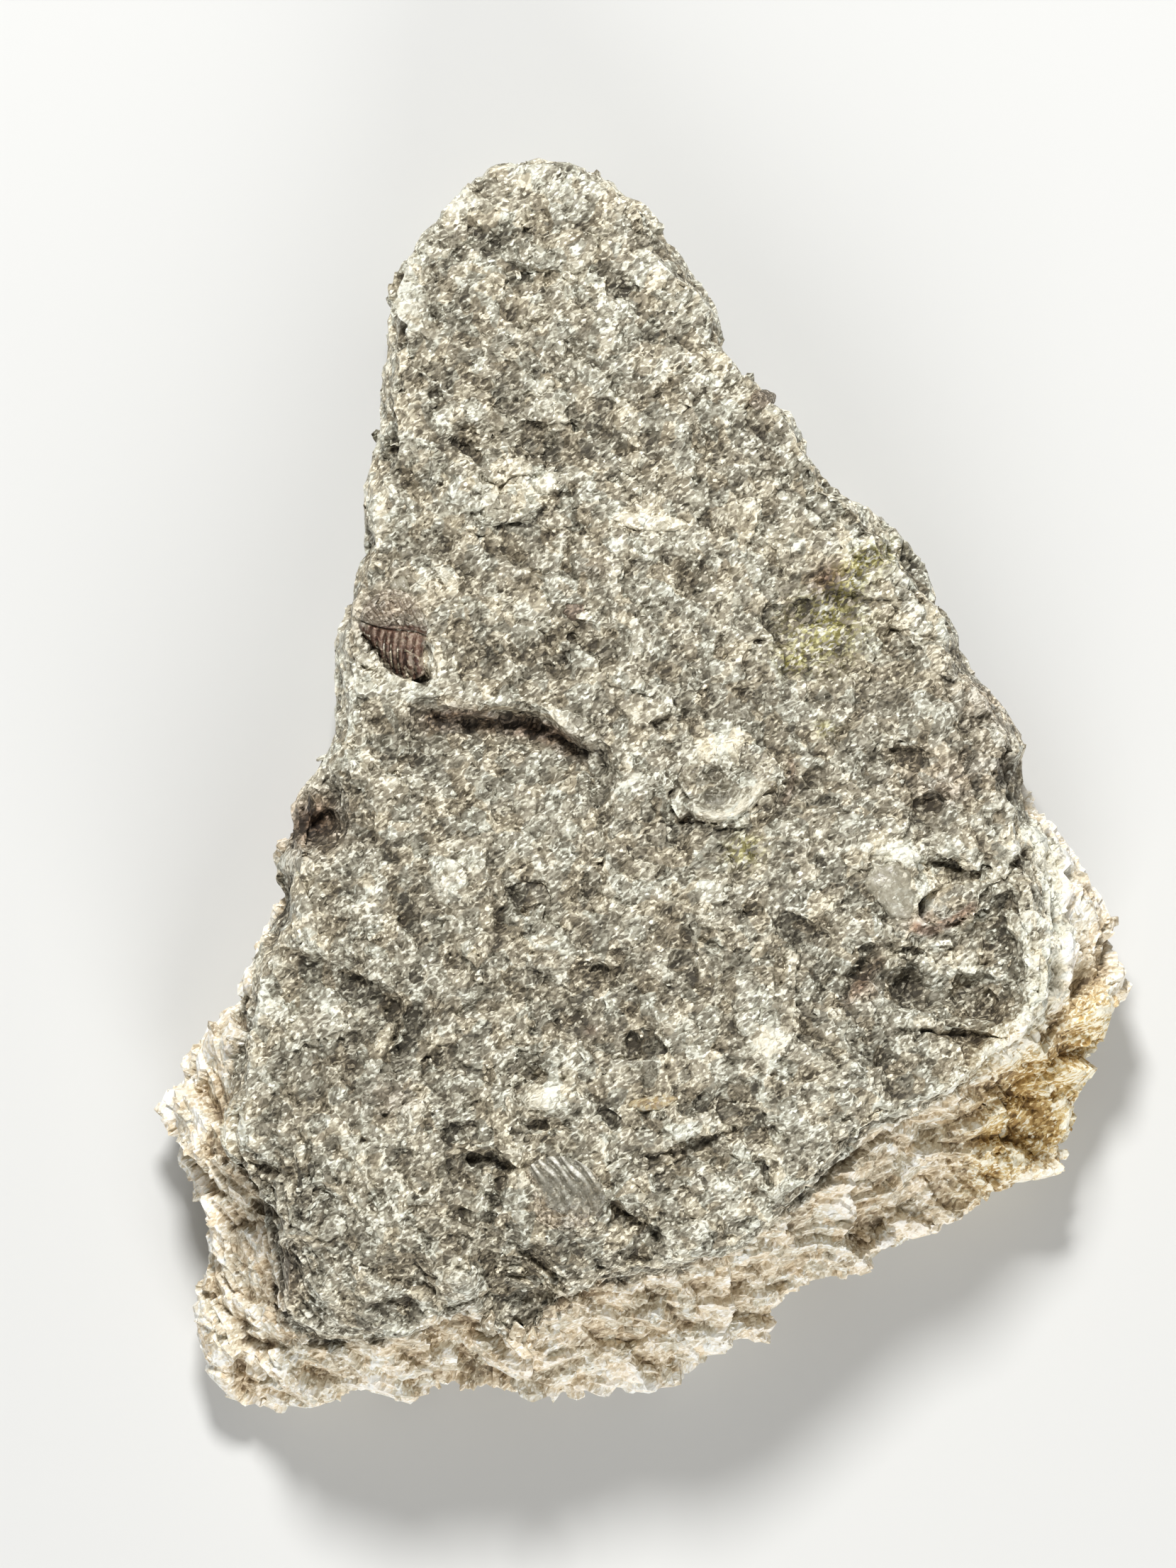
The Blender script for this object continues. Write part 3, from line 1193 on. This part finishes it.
crescent = pressed_patch("crescent_shell_bowl", crescent_surface, *grid_counts(150, 120), 1.6)
points = read_points(crescent)
from_lip, ends = lip_at(*points.T[:2])
in_pit = lump_mark(*points.T[:2], *PIT, 0.8, 0.75, 0, 1.0)
in_bowl = lump_mark(*points.T[:2], 9.0, -1.6, 1.7, 1.0, 20, 1.0)
on_lip = ends * np.exp(-(((from_lip + 0.2) / 0.7) ** 2))
under_lip = smoothstep(0.5, 1.2, from_lip) * ends
store(crescent, "crest", 0.5 * on_lip + 0.3)
store(crescent, "left", np.clip(0.9 * in_bowl + 0.2 * on_lip, 0, 1) * (1 - in_pit))
dress(crescent, white=1.2 * on_lip + 0.2 * (1 - under_lip) * (1 - in_bowl), rust=0.6 * under_lip,
      dark=1.2 * under_lip + 1.3 * in_pit, lift=-0.15 * in_pit)
bed_in(crescent, most=lambda x, y: 0.9 - 0.8 * smoothstep(2.6, 4.6, -lip_at(x, y)[0]))
finished(crescent, silver, "shell", "crescent_shell")

# %% [markdown]
# The lens-shaped flake upper left and the broken shell in the right hollow are crowned ovals with one
# crisp overhanging edge, so one function makes both. Their skin is rough like the stone around them.

# %% The lens shell and the shell in the hollow
def oval_shell(name, node, middle, half, turn, crown, edge_side):
    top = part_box(node)[1].z / MM
    mx, my = placed(middle)

    def surface(u, v):
        a, b = disc(u, v)
        angle = np.arctan2(b, a)
        uneven = 1 + 0.05 * np.sin(3 * angle + mx) + 0.03 * np.sin(7 * angle)
        dx, dy = turned(a * half[0] * uneven, b * half[1] * uneven, turn)
        reach = np.hypot(a, b)
        facing = np.clip(np.cos(np.arctan2(dy, dx) - math.radians(edge_side)), 0, 1) ** 0.5
        rim = (1 - facing) * smoothstep(0.8, 1.0, reach)
        points = np.stack([mx + dx, my + dy, np.zeros(len(dx))], axis=1)
        rough = 0.5 * facets(points, 1.9, 3.0) + 0.3 * facets(points, 0.8, 5.0)
        edge = 0.6 * facing * np.exp(-(((reach - 0.9) / 0.12) ** 2))
        return mx + dx, my + dy, top - 0.7 * crown * reach**2.2 - 0.5 * crown * rim + edge + rough

    return pressed_patch(name, surface, *grid_counts(110, 80), 1.4)


lens = oval_shell("lens_shell_flake", "lens_shell", (-15.4, 34.3), (5.3, 2.7), 20, 0.8, -62)
dress(lens, white=0.1, lift=0.02)
bed_in(lens)
finished(lens, limestone, "shell", "lens_shell")
chip = oval_shell("hollow_shell_chip", "hollow_shell", (36.4, -14.4), (4.2, 2.3), 22, 0.7, -75)
dress(chip, rust=0.1, white=0.2)
bed_in(chip)
finished(chip, limestone, "shell", "hollow_shell")

# %% [markdown]
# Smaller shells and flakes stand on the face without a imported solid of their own. Each is an uneven
# oval draped over the stone: its middle follows the lie of the face, its crown stands over it, and its
# rim goes under the surface. The smoother ones bridge the stone's crumbs instead of following them.

# %% Small shells and flakes on the face
# Each: name, place, half length, half width, thickness, turn, how far it follows the crumbs, and finish
FLAKES = (
    ("cap_shell", (-7.6, 64.1), 3.0, 2.4, 1.0, 25, 0.2, {"white": 0.3}),
    ("white_dome", (-11.4, 36.2), 1.5, 1.3, 0.7, 0, 0.1, {"white": 0.5, "lift": -0.02}),
    ("white_knob", (-41.2, -9.2), 2.1, 1.7, 1.3, 0, 0.1, {"white": 0.6}),
    ("edge_lens", (-40.3, -14.8), 1.4, 4.3, 0.8, 8, 0.3, {"white": 0.5}),
    ("left_oval", (-29.3, 24.0), 0.55, 0.95, 0.4, 20, 0.0, {"left": 1.0}),
    ("right_oval", (-28.4, 24.2), 0.75, 1.2, 0.45, 15, 0.0, {"left": 1.0}),
    ("tail_flake", (-26.9, 18.5), 1.1, 0.7, 0.3, 20, 0.3, {"white": 0.6}),
    ("small_tail_flake", (-28.8, 19.2), 0.45, 1.2, 0.3, -10, 0.3, {"white": 0.5}),
    ("tan_lens", (1.4, -37.6), 2.7, 0.95, 0.5, 6, 0.0, {"left": 0.5, "ochre": 0.8}),
    ("white_flake", (-11.4, -36.9), 2.6, 1.0, 0.35, 24, 0.6, {"white": 0.5}),
    ("brown_knob", (14.5, 46.4), 1.5, 1.3, 1.1, 10, 0.1, {"rust": 0.5}),
    ("spar_knob", (-21.6, -59.6), 3.0, 2.4, 1.2, 20, 0.5, {"white": 0.6}),
    ("lower_knob", (-19.2, -62.0), 1.7, 1.4, 0.9, 0, 0.4, {"white": 0.4}),
    ("round_dome", (12.0, -24.4), 2.6, 2.2, 0.8, 20, 0.3, {"lift": 0.05}),
    ("smooth_crystal", (30.0, -12.2), 2.9, 3.4, 0.8, 25, 0.25, {"left": 0.8, "white": 0.5}),
    ("pit_shell", (45.0, -16.8), 0.8, 2.7, 0.6, 30, 0.1, {"white": 0.5}),
    ("ledge_lump", (-1.4, -48.3), 2.3, 1.2, 0.7, -18, 0.3, {"white": 0.35}),
    ("bright_bar", (-2.8, -44.9), 1.5, 0.5, 0.4, 28, 0.1, {"white": 0.7}),
    ("ridge_flake", (-40.6, -43.8), 0.7, 1.8, 0.6, -12, 0.2, {"white": 0.7}),
    ("low_flake", (-36.8, -52.6), 1.9, 1.5, 0.3, 20, 0.5, {"white": 0.5}),
    ("scallop", (-38.8, -28.6), 3.8, 1.6, 0.5, 12, 0.4, {"lift": 0.04}),
    ("brown_flake", (-7.9, 20.9), 1.4, 1.0, 0.3, 30, 0.2, {"rust": 0.8, "lift": -0.05}),
    ("middle_fan", (-13.0, 21.6), 2.6, 1.9, 0.4, -15, 0.3, {"white": 0.25}),
    ("north_fan", (-26.0, 25.2), 1.5, 1.1, 0.3, 10, 0.3, {"white": 0.5}),
    ("long_flake", (1.0, 31.6), 4.6, 1.1, 0.4, -8, 0.4, {"white": 0.45}),
)


def flake(name, place, half_length, half_width, thickness, turn, follow):
    mx, my = placed(place)

    def surface(u, v):
        a, b = disc(u, v)
        angle = np.arctan2(b, a)
        uneven = 1 + 0.10 * np.sin(2 * angle + mx) + 0.09 * np.sin(3 * angle + my) + 0.04 * np.sin(8 * angle)
        dx, dy = turned(a * half_length * uneven, b * half_width * uneven, turn)
        reach = np.hypot(a, b)
        ground = heights(skin, mx + dx, my + dy)
        ground = np.maximum(ground, np.median(ground) - 2.5)  # a flake doesn't reach down past an edge
        sides = np.stack([dx, dy, np.ones(len(dx))], axis=1)
        flat = sides @ np.linalg.lstsq(sides, ground, rcond=None)[0]
        top = thickness * (1 - reach**2.5) - 0.3 * smoothstep(0.85, 1.0, reach)
        points = np.stack([mx + dx, my + dy, ground], axis=1)
        rough = 0.08 * facets(points, 0.8, 3.0)
        return mx + dx, my + dy, flat + follow * (ground - flat) + top + rough

    return pressed_patch(name, surface, *grid_counts(44, 36), 0.8)


for name, place, half_length, half_width, thickness, turn, follow, amounts in FLAKES:
    piece = flake(name, place, half_length, half_width, thickness, turn, follow)
    store(piece, "left", np.full(len(piece.data.vertices), amounts.get("left", 0.0)))
    dress(piece, **amounts)
    bed_in(piece, 0.1, 2.0)
    if "left" in amounts:
        finished(piece, horn, "shell")
    else:
        finished(piece, limestone if follow > 0.15 else shell_stone, "shell")

# %% [markdown]
# With every fossil bedded in, the stone itself is done and gets its finish. Its crests are worn pale and
# its hollows hold dirt, so how far each point stands out lifts or lowers its shade: over its close
# neighbourhood, which gives the crumbs their edges, and over a wider one, which shows the larger forms.

# %% The finished stone
CLOSE = 10
WIDE = 70
worn = 0.24 * relief(stone, CLOSE) + 0.08 * relief(stone, WIDE)
store(stone, "lift", np.clip(worn, -0.28, 0.22))
print(f"shade lifted by {worn.min():.2f} to {worn.max():.2f}")
finished(stone, limestone, "limestone", "limestone_matrix")

# %% [markdown]
# Grains and crystals come by the thousand. One of each kind is modelled by hand, with few faces, and
# copies of it are laid on the stone as one joined mesh. A place for each copy is drawn on the skin, more
# often where a weight is high. The copy is turned to the surface, tilted, sized and partly sunk, and its
# own shade is stored with it. The draws are seeded, so each run gives the same stone.

# %% One crystal, one crumb and one shell splinter
def triangulated(obj):
    choose(obj)
    obj.modifiers.new("triangles", "TRIANGULATE")
    apply_modifiers(obj)
    points = read_points(obj) * MM
    faces = np.array([face.vertices[:] for face in obj.data.polygons])
    bpy.data.objects.remove(obj)
    return points, faces


def crystal_block():
    """A leaning block with bevelled edges, as calcite cleaves. It is 1 across."""
    bpy.ops.mesh.primitive_cube_add(size=0.8)
    obj = bpy.context.object
    points = read_points(obj) * MM
    points[:, 0] += 0.28 * points[:, 2]
    points[:, 1] += 0.22 * points[:, 0]
    write_points(obj, points / MM)
    bevel = obj.modifiers.new("edges", "BEVEL")
    bevel.width = 0.09
    bevel.segments = 1
    apply_modifiers(obj)
    return triangulated(obj)


def crumb():
    bpy.ops.mesh.primitive_ico_sphere_add(subdivisions=1, radius=0.5)
    obj = bpy.context.object
    points = read_points(obj) * MM
    write_points(obj, points * (1 + 0.7 * unevenness(points * 9, 1.0, 4.0))[:, None] / MM)
    return triangulated(obj)


def splinter():
    """A thin curved piece of shell, 1 long."""
    bpy.ops.mesh.primitive_grid_add(x_subdivisions=6, y_subdivisions=3, size=1)
    obj = bpy.context.object
    points = read_points(obj) * MM
    points[:, 1] = points[:, 1] * 0.5 * (1.15 - 2.4 * points[:, 0] ** 2)
    points[:, 2] = -0.9 * points[:, 0] ** 2 - 0.8 * points[:, 1] ** 2
    write_points(obj, points / MM)
    wall = obj.modifiers.new("wall", "SOLIDIFY")
    wall.thickness = 0.07
    apply_modifiers(obj)
    return triangulated(obj)


CRYSTAL = crystal_block()
CRUMB = crumb()
SPLINTER = splinter()
for title, (shape_points, shape_faces) in (("crystal", CRYSTAL), ("crumb", CRUMB), ("splinter", SPLINTER)):
    print(title, len(shape_faces), "triangles")

# %% Scattering copies over the stone
stone.data.calc_loop_triangles()
corners = np.empty(len(stone.data.loop_triangles) * 3, np.int32)
stone.data.loop_triangles.foreach_get("vertices", corners)
skin_corners = read_points(stone)[corners.reshape(-1, 3)]
skin_middles = skin_corners.mean(axis=1)
crossed = np.cross(skin_corners[:, 1] - skin_corners[:, 0], skin_corners[:, 2] - skin_corners[:, 0])
skin_areas = np.linalg.norm(crossed, axis=1) / 2
skin_normals = crossed / np.maximum(2 * skin_areas, 1e-9)[:, None]
skin_spar = crystal_bed(skin_middles)


def spin_about(directions, rng, tilt):
    """A frame for each copy: its Z near the direction, off by the tilt, and its X anywhere around."""
    z = directions + rng.normal(0, tilt, directions.shape)
    z /= np.linalg.norm(z, axis=1)[:, None]
    x = rng.normal(0, 1, directions.shape)
    x -= z * np.sum(x * z, axis=1)[:, None]
    x /= np.linalg.norm(x, axis=1)[:, None]
    return np.stack([x, np.cross(z, x), z], axis=2)


def scatter(name, shape, count, weight, size, flat, sunk, tilt, seed, lift):
    """Joined copies of one shape. The size is the middle one and its spread, and flat is the height's share."""
    rng = np.random.default_rng(seed)
    chance = skin_areas * weight
    picked = rng.choice(len(chance), count, p=chance / chance.sum())
    share = rng.random((count, 2))
    share = np.where(share.sum(axis=1, keepdims=True) > 1, 1 - share, share)
    a, b, c = skin_corners[picked].transpose(1, 0, 2)
    places = a + (b - a) * share[:, :1] + (c - a) * share[:, 1:]
    sizes = size[0] * np.exp(np.clip(rng.normal(0, size[1], count), -1.0, 0.55))
    frames = spin_about(skin_normals[picked], rng, tilt)
    stretch = np.stack([
        sizes * rng.uniform(0.8, 1.35, count), sizes * rng.uniform(0.6, 1.1, count), sizes * flat,
    ], axis=1)
    shape_points, shape_faces = shape
    local = shape_points[None] * stretch[:, None]
    copies = np.einsum("nij,nkj->nki", frames, local) + places[:, None]
    copies -= (skin_normals[picked] * (sizes * flat * sunk)[:, None])[:, None]
    copies[..., 2] = np.maximum(copies[..., 2], 0)
    faces = shape_faces[None] + (np.arange(count) * len(shape_points))[:, None, None]
    mesh = bpy.data.meshes.new(name)
    mesh.from_pydata((copies * MM).reshape(-1, 3), (), faces.reshape(-1, 3))
    mesh.update()
    obj = bpy.data.objects.new(name, mesh)
    bpy.context.scene.collection.objects.link(obj)
    each = len(shape_points)
    store(obj, "lift", np.repeat(rng.uniform(*lift, count), each))
    store(obj, "spar", np.repeat(skin_spar[picked], each))
    store_patches(obj, np.repeat(places, each, axis=0))
    return obj


# %% [markdown]
# The grains and the crystals are bits of the stone, so they wear the stone's finish. Each copy is lifted
# or lowered in shade by an amount of its own, so that neighbours differ as they do on the real face.

# %% The finish of grains and crystals
# %% Laying the grains and crystals
face_up = smoothstep(0.1, 0.5, skin_normals[:, 2])
off_sole = smoothstep(3.0, 6.0, skin_middles[:, 2])
grey_part = (1 - skin_spar) * off_sole
pale_part = skin_spar * off_sole * smoothstep(10, -5, skin_middles[:, 1])
cream_share = 0.35 + unevenness(skin_middles, 6.0, 1.0) + patch("white", *skin_middles.T[:2])
# Each: name, shape, count, where, size and spread, height's share, sunk, tilt, seed, and range of lift
LAYERS = (
    ("spar_crystals", CRYSTAL, 320, pale_part * face_up, (1.8, 0.35), 0.5, 0.55, 0.3, 11, (-0.04, 0.12)),
    ("spar_crumbs", CRUMB, 700, pale_part * face_up, (1.1, 0.35), 0.5, 0.35, 0.4, 12, (-0.04, 0.12)),
    ("pale_grains", CRUMB, 1500, grey_part * np.clip(cream_share, 0.08, 2) * face_up, (0.8, 0.4), 0.4, 0.3, 0.4,
     13, (0.02, 0.28)),
    ("grey_grains", CRUMB, 1500, grey_part * face_up, (0.9, 0.4), 0.4, 0.3, 0.4, 14, (-0.10, 0.04)),
    ("shell_splinters", SPLINTER, 450, grey_part * face_up**2, (2.0, 0.4), 0.8, 0.25, 0.3, 15, (0.0, 0.2)),
)
for name, shape, count, weight, size, flat, sunk, tilt, seed, lift in LAYERS:
    layer = scatter(name, shape, count, weight, size, flat, sunk, tilt, seed, lift)
    finished(layer, limestone, "limestone")

# %% [markdown]
# The stage is a plain pale floor. The main light is a soft lamp above the narrow tip, which throws the
# ledges' shadows towards the foot as in the photograph. A larger and weaker lamp low beyond the foot
# lights the walls that face it, which are bright in the photograph, and a dim surrounding fills the rest.

# %% Floor and light
bpy.ops.mesh.primitive_plane_add(size=6)
floor = bpy.context.object
floor.name = "floor"
floor_finish, floor_tree, floor_shader = new_material("floor")
floor_shader["Base Color"].default_value = (0.6, 0.6, 0.585, 1)
floor_shader["Roughness"].default_value = 0.9
floor.data.materials.append(floor_finish)

LAMP_DISTANCE = 0.9


def add_lamp(name, elevation, azimuth, size, energy):
    data = bpy.data.lights.new(name, "AREA")
    data.shape = "DISK"
    data.size = size
    data.energy = energy
    lamp = bpy.data.objects.new(name, data)
    bpy.context.scene.collection.objects.link(lamp)
    around = math.radians(azimuth)
    up = math.radians(elevation)
    lamp.location = LAMP_DISTANCE * Vector((
        math.cos(around) * math.cos(up), math.sin(around) * math.cos(up), math.sin(up),
    ))
    lamp.rotation_euler = lamp.location.to_track_quat("Z", "Y").to_euler()


add_lamp("lamp", 54, 97, 0.18, 9.2)
add_lamp("fill_lamp", 30, -80, 0.6, 5.6)

world = bpy.data.worlds.new("surrounding")
world.use_nodes = True
world.node_tree.nodes["Background"].inputs["Color"].default_value = (1.0, 1.0, 1.0, 1)
world.node_tree.nodes["Background"].inputs["Strength"].default_value = 0.28
bpy.context.scene.world = world
bpy.context.scene.view_settings.view_transform = "Standard"

# %% [markdown]
# The photograph looks straight down, from far enough away that the outline hardly narrows with height.
# So the camera hangs high over the stone with a long lens. Its view is 188 mm tall at the height of the
# stone's middle, as the whole photograph is.

# %% Camera
VIEW_HEIGHT = 188.0
VIEW_PLANE = 20.0
CAMERA_DISTANCE = 2500.0
camera_data = bpy.data.cameras.new("camera")
camera_data.sensor_fit = "VERTICAL"
camera_data.sensor_height = 36
camera_data.lens = 36 * CAMERA_DISTANCE / VIEW_HEIGHT
camera_data.clip_end = 10
camera = bpy.data.objects.new("camera", camera_data)
bpy.context.scene.collection.objects.link(camera)
camera.location = (-6.9 * MM, -0.06 * MM, (VIEW_PLANE + CAMERA_DISTANCE) * MM)
bpy.context.scene.camera = camera
